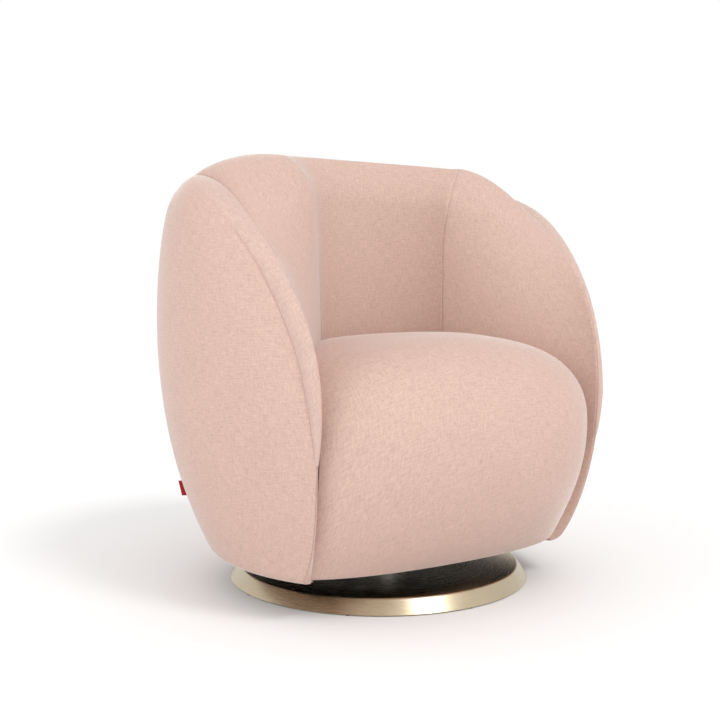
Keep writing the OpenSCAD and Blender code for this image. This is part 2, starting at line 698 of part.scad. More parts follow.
base_disc();
ballast_plate();
floor_pads();
swivel_post();
base_bolts();
lower_race();
bearing_balls();
ball_cage();
upper_race();
swivel_plate();
hub_bush();
post_washer();
post_nut();
hanger_left();
hanger_right();
hanger_bolts();
upper_pivot_pins();
stop_bumpers();
link_front_left();
link_front_right();
front_link_bushes();
link_rear_left();
link_rear_right();
rear_link_bushes();
rail_left();
rail_right();
front_cross_bar();
rear_cross_bar();
lower_pivot_pins();
carriage_bolts();
box_side_left();
box_side_right();
box_front();
box_rear();
bottom_frame();
seat_springs();
spring_clips();
seat_foam();
seat_front_foam();
seat_cover();
back_ribs();
top_rail();
back_foam();
arm_foam_left();
arm_foam_right();
side_board_left();
side_board_right();
back_cover();
inner_arm_cover_left();
inner_arm_cover_right();
arm_facing_left();
arm_facing_right();
side_cover_left();
side_cover_right();
dust_cover();
side_tag();
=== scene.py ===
"""Looks of a swivel glider tub chair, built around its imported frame.

Metres, +Z up, the sitter faces -Y.
"""
import math

import bmesh
import bpy
import numpy as np
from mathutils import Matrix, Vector


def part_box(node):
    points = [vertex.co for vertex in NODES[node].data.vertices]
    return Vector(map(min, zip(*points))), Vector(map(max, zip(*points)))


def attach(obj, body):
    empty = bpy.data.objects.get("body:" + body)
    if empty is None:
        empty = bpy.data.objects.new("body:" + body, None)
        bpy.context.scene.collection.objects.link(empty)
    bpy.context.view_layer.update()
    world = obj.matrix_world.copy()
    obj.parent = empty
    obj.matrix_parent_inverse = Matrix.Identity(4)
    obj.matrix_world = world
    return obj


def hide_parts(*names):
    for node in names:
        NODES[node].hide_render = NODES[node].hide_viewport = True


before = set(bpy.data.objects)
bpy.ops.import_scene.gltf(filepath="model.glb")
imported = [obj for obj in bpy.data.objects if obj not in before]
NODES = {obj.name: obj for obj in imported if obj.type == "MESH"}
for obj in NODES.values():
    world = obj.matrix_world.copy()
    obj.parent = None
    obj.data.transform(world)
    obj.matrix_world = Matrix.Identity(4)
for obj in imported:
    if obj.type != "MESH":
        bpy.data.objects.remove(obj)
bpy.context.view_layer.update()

# ---- sizes of the tub, in metres and degrees ----------------------------------------
BODY_R = 0.399                # half width at the belly
BODY_BOTTOM = 0.062
BELLY_Z = 0.470
CREST_Z = 0.772
INNER_BACK_R = 0.223
SEAT_FRONT = 0.375
SEAT_TOP = 0.452
FAN_Y = 0.153                 # sections fan out from a vertical line this far in front
SEAM_B = 46.5                 # section angle of the long seams
LOWER_DRAW, UPPER_DRAW, SHOULDER_DRAW = 0.081, 0.030, 0.031  # how far the outside draws in
LEAN_FORWARD, LEAN_Z = 0.030, 0.428  # the foot of the tub stands this far forward, from this height down
HEM_R = 0.015                 # round of the bottom edge
BACK_FLAT = 0.035             # share by which the middle of the back is flattened
APEX_Z, SHOULDER_RISE = 0.721, 0.018  # top of the side panel, and the shoulder's rise to the middle
EDGE_DROP, EDGE_OUT = 0.015, (0.062, 0.050)  # crest's inner edge at the seams and in the middle
WALL_DRAW, WALL_SEAM_B, EDGE_SEAM_B = 0.0315, 44.6, 50.6  # inner back at the long seams
WALL_LOW, WALL_LEAN, ROLL_Z = 0.400, 0.007, 0.091  # foot and lean of the inner back, height of its roll
FRONT_ROLL = 0.024            # how far the upper front seam rolls inwards
WALL_SHARE, EDGE_SHARE = 0.45, 0.60  # where a section's wall ends and its crest starts
CLOTH_T = 0.0022              # cover and wadding
SEAM_DEPTH, SEAM_WIDTH = 0.0012, 0.0019  # how the cloth sinks beside a seam
SEAM_GAP = 0.0004             # half of the fine line between two panels
FLANGE = 0.005                # seam allowance turned inwards
TIP_SHARE = 0.7               # where the facing's tip lies along the front seam
ABOVE_HEM = 0.004             # normals are taken no lower than this above the bottom
STUFFING_PRESSURE, STUFFING_LIMIT, STUFFING_STEPS = 4.0, 0.006, 20
SEAT_SHELL = 0.030            # thickness of the seat's shell
SEAT_MIDDLE = (0, -0.15, 0.27)  # the point that the seat's stuffing lies round
TAG_Z, TAG_HALF_HEIGHT, TAG_TILT = 0.168, 0.0135, 0.22
OPENING_X, OPENING_Y = 0.153, 0.166  # half sizes of the opening in the dust cloth
SAG = 0.0010


def sin_d(a):
    return math.sin(math.radians(a))


def cos_d(a):
    return math.cos(math.radians(a))


def lerp(a, b, t):
    return a + (b - a) * t


def smooth(t):
    t = min(max(t, 0.0), 1.0)
    return t * t * (3 - 2 * t)


def unit(v):
    return v / max(np.linalg.norm(v), 1e-12)


def bez(points, t):
    """A point of a Bezier curve of any degree."""
    points = [np.array(p, float) for p in points]
    while len(points) > 1:
        points = [lerp(a, b, t) for a, b in zip(points, points[1:])]
    return points[0]


def fan_pt(b, r, z):
    return np.array([r * sin_d(b), r * cos_d(b) - FAN_Y, z])


def centre_share(b):
    return 1 - min(abs(b) / SEAM_B, 1) ** 2


def shoulder_z(b):
    return APEX_Z + SHOULDER_RISE * centre_share(b)


def hem(z):
    d = BODY_BOTTOM + HEM_R - z
    return HEM_R - math.sqrt(max(HEM_R * HEM_R - d * d, 0)) if d > 0 else 0.0


def outer_radius(b, z):
    if z < BELLY_Z:
        r = BODY_R - LOWER_DRAW * ((BELLY_Z - z) / (BELLY_Z - BODY_BOTTOM)) ** 2.5
    else:
        high = (z - BELLY_Z) / (shoulder_z(b) - BELLY_Z)
        r = BODY_R - UPPER_DRAW * high ** 2 - SHOULDER_DRAW * high ** 11
    return (r - hem(z)) * (1 - BACK_FLAT * centre_share(b) ** 2)


def outer_shift(z):
    return -LEAN_FORWARD * max(0, (LEAN_Z - z) / (LEAN_Z - BODY_BOTTOM))


def outer_r(b, z):
    k, r = FAN_Y + outer_shift(z), outer_radius(b, z)
    return k * cos_d(b) + math.sqrt(r * r - (k * sin_d(b)) ** 2)


def outer_pt(b, z):
    return fan_pt(b, outer_r(b, z), z)


def wall_r(b):
    return INNER_BACK_R - WALL_DRAW * (1 - centre_share(b))


def edge_rz(b):
    share = centre_share(b)
    return np.array([wall_r(b) + lerp(EDGE_OUT[0], EDGE_OUT[1], share),
                     CREST_Z - EDGE_DROP * (1 - share)])


def inner_rz(b, t):
    """Inner part of a section: t is 0 at the seat, 0.6 at the crest's inner edge, 1 on the shoulder."""
    e, a = edge_rz(b), np.array([outer_r(b, shoulder_z(b)), shoulder_z(b)])
    k, h = np.array([wall_r(b) + WALL_LEAN, e[1] - ROLL_Z + 0.015]), np.linalg.norm(a - e)
    if t < WALL_SHARE:
        s = t / WALL_SHARE
        return np.array([wall_r(b) + WALL_LEAN * s * s, lerp(WALL_LOW, k[1], s)])
    if t < EDGE_SHARE:
        return bez([k, k + [0.004, 0.033], e - [0.012, 0.0014], e],
                   (t - WALL_SHARE) / (EDGE_SHARE - WALL_SHARE))
    rise, fall = np.array([cos_d(7), sin_d(7)]), np.array([cos_d(38), -sin_d(38)])
    return bez([e, e + 0.42 * h * rise, a - 0.3 * h * fall, a], (t - EDGE_SHARE) / (1 - EDGE_SHARE))


def inner_pt(b, t):
    return fan_pt(b, *inner_rz(b, t))


def seam_angle(t):
    return (WALL_SEAM_B + (EDGE_SEAM_B - WALL_SEAM_B) * smooth((t - 0.3) / 0.3)
            - (EDGE_SEAM_B - SEAM_B) * smooth((t - EDGE_SHARE) / (1 - EDGE_SHARE)))


# ---- seams of the right arm: a share s runs down from the apex, a share u runs forward ----
APEX = outer_pt(SEAM_B, APEX_Z)
TIP_YZ = (-0.2627, 0.2585)
HEM_YZ = (-0.187, BODY_BOTTOM)
UPPER_FRONT = [(APEX[1], APEX_Z), (-0.082, 0.723), (-0.270, 0.504), TIP_YZ]
LOWER_FRONT = [TIP_YZ, (-0.2545, 0.206), (-0.239, 0.117), HEM_YZ]


def on_side(yz):
    r, d = outer_radius(90, yz[1]), yz[0] - outer_shift(yz[1])
    return np.array([math.sqrt(r * r - d * d), yz[0], yz[1]])


TIP = on_side(TIP_YZ)
INNER_FRONT = [APEX, (0.312, -0.071, 0.731), (0.345, -0.150, 0.573), (0.2755, -0.312, 0.535), TIP]


def upper_seam(s):
    """Seam between the side and the facing, from the apex to the tip."""
    return on_side(bez(UPPER_FRONT, s)) - np.array([FRONT_ROLL * sin_d(180 * s) ** 2, 0, 0])


def below_tip(s):
    """Share of the way from the tip to the hem."""
    return (s - TIP_SHARE) / (1 - TIP_SHARE)


def front_seam(s):
    """Front edge of the side panel, from the apex past the tip to the hem."""
    return upper_seam(s / TIP_SHARE) if s < TIP_SHARE else on_side(bez(LOWER_FRONT, below_tip(s)))


def side_pt(s, u):
    f = front_seam(s)
    b = math.degrees(math.atan2(f[0], f[1] + FAN_Y))
    return outer_pt(lerp(SEAM_B, b, u), f[2]) + (f - outer_pt(b, f[2])) * u ** 5


def facing_pt(s, u):
    a, b = upper_seam(s), bez(INNER_FRONT, s)
    out = unit(np.array([0.55, -0.6, 0.58 * (1 - s)]))
    return lerp(a, b, u) + out * 0.028 * u * (1 - u) * min(1, np.linalg.norm(b - a) / 0.030)


def inner_arm_pt(t, u):
    a, b = inner_pt(seam_angle(t), t), bez(INNER_FRONT, 1 - t)
    h = 0.36 * np.linalg.norm(b - a)
    low, high = np.array([0.545, -0.839, 0]), np.array([0.78, -0.56, -0.2])
    start = unit(lerp(low, high, smooth((t - 0.3) / 0.3)))
    low, high = np.array([-0.25, 0.97, 0]), np.array([-0.3, 0.72, 0.6])
    end = unit(lerp(low, high, smooth((t - 0.2) / 0.4)))
    return bez([a, a + h * start, b + h * end, b], u)


# Columns of the inner arm, from the long seam to its front edge, and the one where the strip begins.
ARM_COLS = [0, 0.006, 0.012, 0.02, 0.032] + [0.05 + 0.03 * k for k in range(30)] + [
    0.945, 0.965, 0.98, 0.988, 0.994, 1]
VALLEY_COL = 33
STRIP_PUFF = 0.001
VALLEY_U = ARM_COLS[VALLEY_COL]
VALLEY = [inner_arm_pt(0, VALLEY_U), (0.281, -0.244, 0.205), (0.272, -0.216, 0.125),
          (0.255, -0.180, 0.062)]


def strip_pt(s, u):
    """Below the tip the inner arm runs on as a strip, from the valley beside the seat to the front seam."""
    w = (u - VALLEY_U) / (1 - VALLEY_U)
    start = inner_arm_pt(0, u) - lerp(VALLEY[0], TIP, w)
    plain = lerp(bez(VALLEY, s), front_seam(lerp(TIP_SHARE, 1, s)), w)
    plain = plain + np.array([0, -STRIP_PUFF * 4 * w * (1 - w) * smooth(4 * s), 0])
    return plain + start * (1 - smooth(12 * s))


def normal_of(f, r, c, step=0.004):
    """Outward unit normal of a right-hand surface, by small differences inside its range."""
    up = f(min(r + step, 1), c) - f(max(r - step, 0), c)
    across = f(r, min(c + step, 1)) - f(r, max(c - step, 0))
    return -unit(np.cross(up, across))


def outer_normal(z):
    """Normal of the outside at the right long seam."""
    up = outer_pt(SEAM_B, z + 0.001) - outer_pt(SEAM_B, z - 0.001)
    return unit(np.cross(outer_pt(SEAM_B + 0.5, z) - outer_pt(SEAM_B - 0.5, z), up)) * -1


def inner_normal(t):
    """Normal of the inner back at the right long seam."""
    lo, hi = max(t - 0.004, 0), min(t + 0.004, 1)
    b = seam_angle(t)
    up = fan_pt(b, *inner_rz(b, hi)) - fan_pt(b, *inner_rz(b, lo))
    return unit(np.cross(inner_pt(b - 0.5, t) - inner_pt(b + 0.5, t), up)) * -1


def long_seam_dir(t):
    """Which way the cloth is drawn in along the long seam: the middle of its two panels' normals."""
    arm = normal_of(inner_arm_pt, t, 0.004) * (1 - smooth((t - 0.8) / 0.15))
    return unit(inner_normal(t) + arm)


def outer_seam_dir(s):
    """The same for the seam between the side and the facing, or the strip below it."""
    side = normal_of(side_pt, min(max(s, 0.03), 0.985), 0.996)
    if s < TIP_SHARE:
        leaf = normal_of(facing_pt, min(max(s / TIP_SHARE, 0.08), 0.92), 0.01)
        tip = normal_of(inner_arm_pt, 0.02, 0.98)
        leaf = lerp(leaf, tip, smooth((s - 0.58) / 0.12))
    else:
        past = smooth((s - TIP_SHARE) / 0.08)
        leaf = normal_of(inner_arm_pt, 0.02, 0.98) * (1 - past)
        leaf = leaf - normal_of(strip_pt, min(below_tip(s), 0.98), 0.98) * past
    apex = unit(outer_normal(APEX_Z) + inner_normal(1))
    return unit(lerp(apex, unit(side + leaf), smooth(s / 0.06)))


def inner_seam_dir(s):
    """The same for the seam between the facing and the inner arm."""
    leaf = normal_of(facing_pt, min(max(s, 0.08), 0.92), 0.99)
    arm = normal_of(inner_arm_pt, min(max(1 - s, 0.02), 0.92), 0.98)
    middle = unit(leaf + arm)
    apex = unit(outer_normal(APEX_Z) + inner_normal(1))
    middle = lerp(apex, middle, smooth(s / 0.10))
    return unit(lerp(middle, outer_seam_dir(TIP_SHARE), smooth((s - 0.88) / 0.12)))


# ---- the seat -----------------------------------------------------------------------
# Its middle line and its right edge: over the top, over the front and down to the hem.
SEAT_CENTRE = [
    [(0, 0.066, 0.424), (0, -0.020, 0.452), (0, -0.120, SEAT_TOP), (0, -0.200, SEAT_TOP - 0.001)],
    [(0, -0.200, SEAT_TOP - 0.001), (0, -0.320, SEAT_TOP - 0.003), (0, -SEAT_FRONT, 0.385),
     (0, -SEAT_FRONT, 0.300)],
    [(0, -SEAT_FRONT, 0.300), (0, -SEAT_FRONT, 0.215), (0, -0.310, 0.120), (0, -0.234, 0.067)]]
SEAT_SIDE = [
    [(0.130, -0.012, 0.436), (0.165, -0.059, 0.441), (0.201, -0.105, 0.437), (0.238, -0.156, 0.414)],
    [(0.238, -0.156, 0.414), (0.270, -0.200, 0.394), (0.279, -0.238, 0.360), (0.279, -0.245, 0.315)],
    [(0.279, -0.245, 0.315), (0.282, -0.254, 0.220), (0.276, -0.214, 0.130), (0.262, -0.184, 0.067)]]
SEAT_BREAKS = (0, 0.35, 0.65, 1)


def seat_line(line, v):
    """A point of a seat line of three Bezier curves, at the share v from the back edge to the hem."""
    i = 0 if v < SEAT_BREAKS[1] else 1 if v < SEAT_BREAKS[2] else 2
    return bez(line[i], (v - SEAT_BREAKS[i]) / (SEAT_BREAKS[i + 1] - SEAT_BREAKS[i]))


def seat_pt(v, u):
    """A point of the seat; u is -1 at its left edge and 1 at its right edge."""
    c, e, w = seat_line(SEAT_CENTRE, v), seat_line(SEAT_SIDE, v), abs(u)
    fall = lerp(3.4, 1.7, smooth((v - 0.10) / 0.25))
    x = e[0] * (0.35 * sin_d(90 * u) + 0.65 * u)
    return np.array([x, lerp(c[1], e[1], w ** 2.2), lerp(c[2], e[2], w ** fall)])


# ---- panels as closed shells --------------------------------------------------------
def spaced(n, edge=0.004, lo=0.0, hi=1.0):
    """Parameters from lo to hi, closer together near both ends, where the seams are."""
    ends = [0, edge, 2 * edge, 3.2 * edge, 5 * edge]
    middle = list(np.linspace(8 * edge, 1 - 8 * edge, n))
    return [lo + (hi - lo) * x for x in ends + middle + [1 - x for x in reversed(ends)]]


def grid_of(f, rows, cols):
    return np.array([[f(r, c) for c in cols] for r in rows])


def grid_normals(g, turn):
    di, dj = np.gradient(g, axis=0), np.gradient(g, axis=1)
    n = np.cross(di, dj)
    size = np.linalg.norm(n, axis=2, keepdims=True)
    n = np.where(size > 1e-12, n / np.maximum(size, 1e-12), 0)
    return -n if turn else n


def lengths(g, axis):
    """Arc length along an axis of the grid, from its first point."""
    step = np.linalg.norm(np.diff(g, axis=axis), axis=2)
    return np.concatenate([np.zeros_like(np.take(step, [0], axis)), np.cumsum(step, axis)], axis)


def pucker(along, seed):
    """Slow unevenness of a seam, from a few sine waves with set phases."""
    waves = [(95.0, 0.45), (211.0, 0.35), (447.0, 0.2)]
    return sum(a * np.sin(k * along + seed * 1.7 * (i + 1)) for i, (k, a) in enumerate(waves))


def drawn_in(g, normals, dirs, seed):
    """Draws the cloth in towards its sewn edges; dirs holds the seam's directions for each of them."""
    across, along = lengths(g, 1), lengths(g, 0)
    near = {"first": across, "last": across[:, -1:] - across}
    move = np.zeros_like(g)
    most = np.zeros(g.shape[:2])
    for edge, seam in dirs.items():
        depth = SEAM_DEPTH * (1 + 0.16 * pucker(along, seed) * np.minimum(near[edge] / 0.004, 1))
        pull = np.exp(-(near[edge] / SEAM_WIDTH) ** 1.4)
        way = normals + (seam[:, None, :] - normals) * pull[..., None]
        way /= np.maximum(np.linalg.norm(way, axis=2, keepdims=True), 1e-9)
        here = depth * pull
        move = np.where((here > most)[..., None], -way * here[..., None], move)
        most = np.maximum(most, here)
    return g + move


def with_flanges(g, dirs):
    """Adds the seam allowances, turned inwards along the sewn columns."""
    first, last = [], []
    if "first" in dirs:
        first = [g[:, 0] - dirs["first"] * d for d in (FLANGE, FLANGE / 3)]
    if "last" in dirs:
        last = [g[:, -1] - dirs["last"] * d for d in (FLANGE / 3, FLANGE)]
    before, after = np.stack(first + [g[:, 0]], 1), np.stack([g[:, -1]] + last, 1)
    return np.concatenate([before, g[:, 1:-1], after], 1)


def add_grid(bm, g, turn):
    """Adds the grid's faces, their cloth coordinates in metres and how deep they lie in a seam, a mask for
    the painted shade in the seams.
    """
    layer = bm.loops.layers.uv.verify()
    seam = bm.verts.layers.float["seam"]
    n, m = g.shape[:2]
    across, along = lengths(g, 1), lengths(g, 0)
    across = across - across[:, m // 2:m // 2 + 1]
    along = along[:, m // 2:m // 2 + 1] + 0 * along
    verts = [[bm.verts.new(p) for p in row] for row in g]
    for row, steps in zip(verts, np.linalg.norm(np.diff(g, axis=1), axis=2)):
        ends = [(0, 1, 2, steps[0] + steps[1])] if m > 8 else []
        ends += [(-1, -2, -3, steps[-1] + steps[-2])] if m > 5 else []
        for a, b, c, length in ends:
            # Painted shade mask: the seam allowances get full painted shade, the next column a little less.
            if 0.9 * FLANGE < length < 1.1 * FLANGE:
                row[a][seam] = row[b][seam] = 1.0
                row[c][seam] = 0.55
    for i in range(n - 1):
        for j in range(m - 1):
            ring = [(i, j), (i, j + 1), (i + 1, j + 1), (i + 1, j)]
            ring = ring[::-1] if turn else ring
            face = bm.faces.new([verts[a][b] for a, b in ring])
            face.smooth = True
            for loop, (a, b) in zip(face.loops, ring):
                loop[layer].uv = (across[a, b], along[a, b])


def cloth_object(name, grids, turn, material):
    """One panel of cloth from grids that share an edge, given thickness inwards and smoothed."""
    bm = bmesh.new()
    # The seam layer is a mask for the painted shade in the seams.
    bm.verts.layers.float.new("seam")
    for g in grids:
        add_grid(bm, g, turn)
    bmesh.ops.remove_doubles(bm, verts=bm.verts, dist=2e-5)
    mesh = bpy.data.meshes.new(name)
    bm.to_mesh(mesh)
    bm.free()
    mesh.uv_layers[0].name = "cloth"
    obj = new_object(name, mesh, material)
    solid = obj.modifiers.new("thickness", "SOLIDIFY")
    solid.thickness, solid.offset, solid.use_even_offset = CLOTH_T, -1, False
    return refine(obj)


def shell_mesh(name, g, normals, thick, cloth=None):
    """A closed shell below the grid g, with a UV map in metres of cloth."""
    n, m = g.shape[:2]
    pts = np.concatenate([g.reshape(-1, 3), (g - thick * normals).reshape(-1, 3)])
    quads = [(i * m + j, i * m + j + 1, (i + 1) * m + j + 1, (i + 1) * m + j)
             for i in range(n - 1) for j in range(m - 1)]
    off = n * m
    faces = quads + [tuple(off + k for k in reversed(q)) for q in quads]
    loop = (list(range(m)) + [i * m + m - 1 for i in range(1, n)]
            + [(n - 1) * m + j for j in range(m - 2, -1, -1)] + [i * m for i in range(n - 2, 0, -1)])
    faces += [(b, a, a + off, b + off) for a, b in zip(loop, loop[1:] + loop[:1])]
    mesh = bpy.data.meshes.new(name)
    mesh.from_pydata([tuple(p) for p in pts], [], faces)
    across, along = lengths(g, 1), lengths(g, 0)
    across = across - across[:, m // 2:m // 2 + 1]
    uv = (np.stack([across, along], 2) if cloth is None else cloth).reshape(-1, 2)
    layer = mesh.uv_layers.new(name="cloth")
    index = np.zeros(len(mesh.loops), int)
    mesh.loops.foreach_get("vertex_index", index)
    layer.data.foreach_set("uv", uv[index % off].astype(np.float32).ravel())
    return mesh


def tidy_normals(mesh, weld=0.0):
    """Turns all faces outwards and shades them smooth, after welding points closer than weld."""
    bm = bmesh.new()
    bm.from_mesh(mesh)
    if weld:
        bmesh.ops.remove_doubles(bm, verts=bm.verts, dist=weld)
    bmesh.ops.recalc_face_normals(bm, faces=bm.faces)
    bm.to_mesh(mesh)
    bm.free()
    mesh.polygons.foreach_set("use_smooth", [True] * len(mesh.polygons))


def new_object(name, mesh, material=None):
    obj = bpy.data.objects.new(name, mesh)
    bpy.context.scene.collection.objects.link(obj)
    if material is not None:
        mesh.materials.clear()
        mesh.materials.append(material)
    return obj


def parted(g, dirs):
    """Moves the sewn columns a hair away from the seam, so that the seam reads as a fine line."""
    g = g.copy()
    width = np.linalg.norm(g[:, -1] - g[:, 0], axis=1, keepdims=True)
    move = np.minimum(SEAM_GAP, 0.1 * width)
    for edge, (at, by) in {"first": (0, 1), "last": (-1, -2)}.items():
        if edge in dirs:
            step = g[:, by] - g[:, at]
            size = np.maximum(np.linalg.norm(step, axis=1, keepdims=True), 1e-9)
            g[:, at] += step / size * np.minimum(move, 0.5 * size)
    return g


def sewn(g, dirs, seed):
    """The grid drawn in at its seams, with its allowances."""
    return with_flanges(parted(drawn_in(g, grid_normals(g, True), dirs, seed), dirs), dirs)


def mirrored(g):
    return g * np.array([-1.0, 1, 1])


def applied(obj):
    """Bakes the object's modifiers into its mesh."""
    bpy.context.view_layer.update()
    mesh = bpy.data.meshes.new_from_object(obj.evaluated_get(bpy.context.evaluated_depsgraph_get()))
    obj.modifiers.clear()
    old = obj.data
    obj.data = mesh
    bpy.data.meshes.remove(old)
    mesh.polygons.foreach_set("use_smooth", [True] * len(mesh.polygons))
    return obj


def refine(obj):
    """Smooths the object by one step of subdivision, after the modifiers it already has."""
    mod = obj.modifiers.new("refine", "SUBSURF")
    mod.levels = mod.render_levels = 1
    return applied(obj)


def stuff(obj, held):
    """Swells a closed piece by cloth simulation, with the points of held kept, and limits each move."""
    mesh = obj.data
    rest = np.zeros(len(mesh.vertices) * 3)
    mesh.vertices.foreach_get("co", rest)
    rest = rest.reshape(-1, 3)
    group = obj.vertex_groups.new(name="held")
    group.add([int(i) for i in np.flatnonzero(held)], 1.0, "REPLACE")
    cloth = obj.modifiers.new("stuffing", "CLOTH")
    cloth.settings.use_pressure = True
    cloth.settings.uniform_pressure_force = STUFFING_PRESSURE
    cloth.settings.vertex_group_mass = "held"
    cloth.settings.quality = 5
    cloth.settings.mass = 0.3
    cloth.settings.tension_stiffness = cloth.settings.compression_stiffness = 15
    cloth.settings.bending_stiffness = 0.5
    cloth.settings.effector_weights.gravity = 0
    cloth.point_cache.frame_start, cloth.point_cache.frame_end = 1, STUFFING_STEPS
    scene = bpy.context.scene
    for step in range(1, STUFFING_STEPS + 1):
        scene.frame_set(step)
    done = obj.evaluated_get(bpy.context.evaluated_depsgraph_get()).to_mesh()
    moved = np.zeros(len(mesh.vertices) * 3)
    done.vertices.foreach_get("co", moved)
    obj.modifiers.clear()
    scene.frame_set(1)
    move = moved.reshape(-1, 3) - rest
    size = np.linalg.norm(move, axis=1, keepdims=True)
    move *= STUFFING_LIMIT * np.tanh(size / STUFFING_LIMIT) / np.maximum(size, 1e-9)
    mesh.vertices.foreach_set("co", (rest + move).ravel())
    mesh.update()
    obj.vertex_groups.clear()


# ---- materials ----------------------------------------------------------------------
class Graph:
    """A material's node tree, with short ways to add nodes and wires."""

    def __init__(self, name):
        self.material = bpy.data.materials.new(name)
        self.material.use_nodes = True
        self.tree = self.material.node_tree
        self.shader = self.tree.nodes["Principled BSDF"]

    def node(self, kind, settings=None, **inputs):
        n = self.tree.nodes.new(kind)
        for key, value in (settings or {}).items():
            setattr(n, key, value)
        for key, value in inputs.items():
            self.feed(n.inputs[key.replace("_", " ")], value)
        return n

    def feed(self, socket, value):
        if isinstance(value, bpy.types.NodeSocket):
            self.tree.links.new(value, socket)
        else:
            socket.default_value = value

    def math(self, how, a, b=0.0):
        n = self.tree.nodes.new("ShaderNodeMath")
        n.operation = how
        self.feed(n.inputs[0], a)
        self.feed(n.inputs[1], b)
        return n.outputs[0]

    def stretched(self, source, scale):
        return self.node("ShaderNodeMapping", Vector=source, Scale=scale).outputs["Vector"]

    def noise(self, source, scale, detail=2.0, rough=0.5):
        n = self.node("ShaderNodeTexNoise", Vector=source, Scale=scale, Detail=detail, Roughness=rough)
        return n.outputs["Fac"]

    def ramp(self, source, low, high, dark, light):
        n = self.node("ShaderNodeMapRange", Value=source)
        for key, value in (("From Min", low), ("From Max", high), ("To Min", dark), ("To Max", light)):
            n.inputs[key].default_value = value
        return n.outputs["Result"]

    def shade(self, colour, factor):
        """The colour made lighter or darker by a factor near 1."""
        n = self.node("ShaderNodeHueSaturation", Color=colour, Value=factor)
        return n.outputs["Color"]

    def bump(self, height, strength, distance):
        n = self.node("ShaderNodeBump", Height=height, Strength=strength, Distance=distance)
        self.tree.links.new(n.outputs["Normal"], self.shader.inputs["Normal"])

    def set(self, **values):
        for key, value in values.items():
            self.feed(self.shader.inputs[key.replace("_", " ")], value)


def woven(name, colour, sheen=1.0):
    """Slub linen weave: crossing threads, thick and thin, on the cloth's own UV map, with painted shade
    darkening the seam allowances.
    """
    g = Graph(name)
    uv = g.node("ShaderNodeUVMap", {"uv_map": "cloth"}).outputs["UV"]
    weft = g.noise(g.stretched(uv, (1.0, 8.0, 1)), 58, 3, 0.6)
    warp = g.noise(g.stretched(uv, (8.0, 1.0, 1)), 58, 3, 0.6)
    fine_weft = g.noise(g.stretched(uv, (1.0, 5.0, 1)), 170, 2, 0.6)
    fine_warp = g.noise(g.stretched(uv, (5.0, 1.0, 1)), 170, 2, 0.6)
    cloud = g.noise(uv, 14, 3, 0.55)
    slub = g.math("ADD", g.math("MULTIPLY", weft, 0.5), g.math("MULTIPLY", warp, 0.5))
    fine = g.math("ADD", g.math("MULTIPLY", fine_weft, 0.5), g.math("MULTIPLY", fine_warp, 0.5))
    tone = g.math("ADD", g.ramp(slub, 0.35, 0.65, -0.13, 0.13), g.ramp(fine, 0.35, 0.65, -0.10, 0.10))
    tone = g.math("ADD", tone, g.ramp(cloud, 0.3, 0.7, 0.985, 1.015))
    # Painted shade: the seam allowances are darkened to 0.4 of the linen's colour, standing in for the
    # shadow in the seams.
    seam = g.node("ShaderNodeAttribute", {"attribute_name": "seam"}).outputs["Fac"]
    tone = g.math("MULTIPLY", tone, g.ramp(seam, 0.0, 1.0, 1.0, 0.4))
    wave = {"wave_type": "BANDS", "wave_profile": "SIN"}
    threads = [g.node("ShaderNodeTexWave", dict(wave, bands_direction=way), Vector=uv, Scale=250.0,
                      Distortion=0.6, Detail_Scale=6.0).outputs["Fac"] for way in "XY"]
    weave = g.math("MULTIPLY", *threads)
    height = g.math("ADD", g.math("MULTIPLY", weave, 0.5), g.math("ADD", slub, fine))
    g.set(Base_Color=g.shade(colour, tone), Roughness=0.92, Specular_IOR_Level=0.18,
          Sheen_Weight=sheen, Sheen_Roughness=0.24, Sheen_Tint=(1.0, 0.95, 0.92, 1))
    g.bump(height, 0.35, 0.0006)
    return g.material


def brushed_metal(name, colour, rough, along="ring", grain=0.05):
    """Satin metal; the brush marks run round the axis on a turned piece, or along X."""
    g = Graph(name)
    xyz = g.node("ShaderNodeTexCoord").outputs["Object"]
    if along == "ring":
        parts = g.node("ShaderNodeSeparateXYZ", Vector=xyz)
        x, y, z = (parts.outputs[k] for k in "XYZ")
        r = g.math("SQRT", g.math("ADD", g.math("MULTIPLY", x, x), g.math("MULTIPLY", y, y)))
        turn = g.math("ARCTAN2", y, x)
        ring = g.node("ShaderNodeCombineXYZ", X=r, Y=g.math("MULTIPLY", turn, 0.004), Z=z)
        marks = g.noise(ring.outputs[0], 900, 2, 0.6)
    else:
        marks = g.noise(g.stretched(xyz, (0.03, 1, 1)), 900, 2, 0.6)
    smudge = g.noise(xyz, 14, 3, 0.5)
    dirt = g.math("ADD", g.ramp(marks, 0.3, 0.7, -grain, grain), g.ramp(smudge, 0.3, 0.7, 0.97, 1.03))
    base = g.ramp(smudge, 0.3, 0.7, rough - 0.02, rough + 0.03)
    g.set(Base_Color=g.shade(colour, dirt), Metallic=1.0,
          Roughness=g.math("ADD", g.ramp(marks, 0.3, 0.7, -0.04, 0.04), base))
    g.bump(marks, 0.08, 0.0002)
    return g.material


def powder_coat(name, colour, rough=0.55):
    """Painted metal with a little dust and orange peel."""
    g = Graph(name)
    xyz = g.node("ShaderNodeTexCoord").outputs["Object"]
    peel, dust = g.noise(xyz, 900, 2, 0.5), g.noise(xyz, 18, 4, 0.6)
    g.set(Base_Color=g.shade(colour, g.ramp(dust, 0.3, 0.7, 0.9, 1.15)),
          Roughness=g.ramp(dust, 0.3, 0.7, rough - 0.05, rough + 0.1))
    g.bump(peel, 0.12, 0.0003)
    return g.material


def moulded(name, colour, rough):
    """A moulded or spun material of one colour, with a fine grain."""
    g = Graph(name)
    xyz = g.node("ShaderNodeTexCoord").outputs["Object"]
    grain, mottle = g.noise(xyz, 1400, 2, 0.5), g.noise(xyz, 40, 3, 0.5)
    g.set(Base_Color=g.shade(colour, g.ramp(mottle, 0.3, 0.7, 0.95, 1.05)), Roughness=rough)
    g.bump(grain, 0.1, 0.0002)
    return g.material


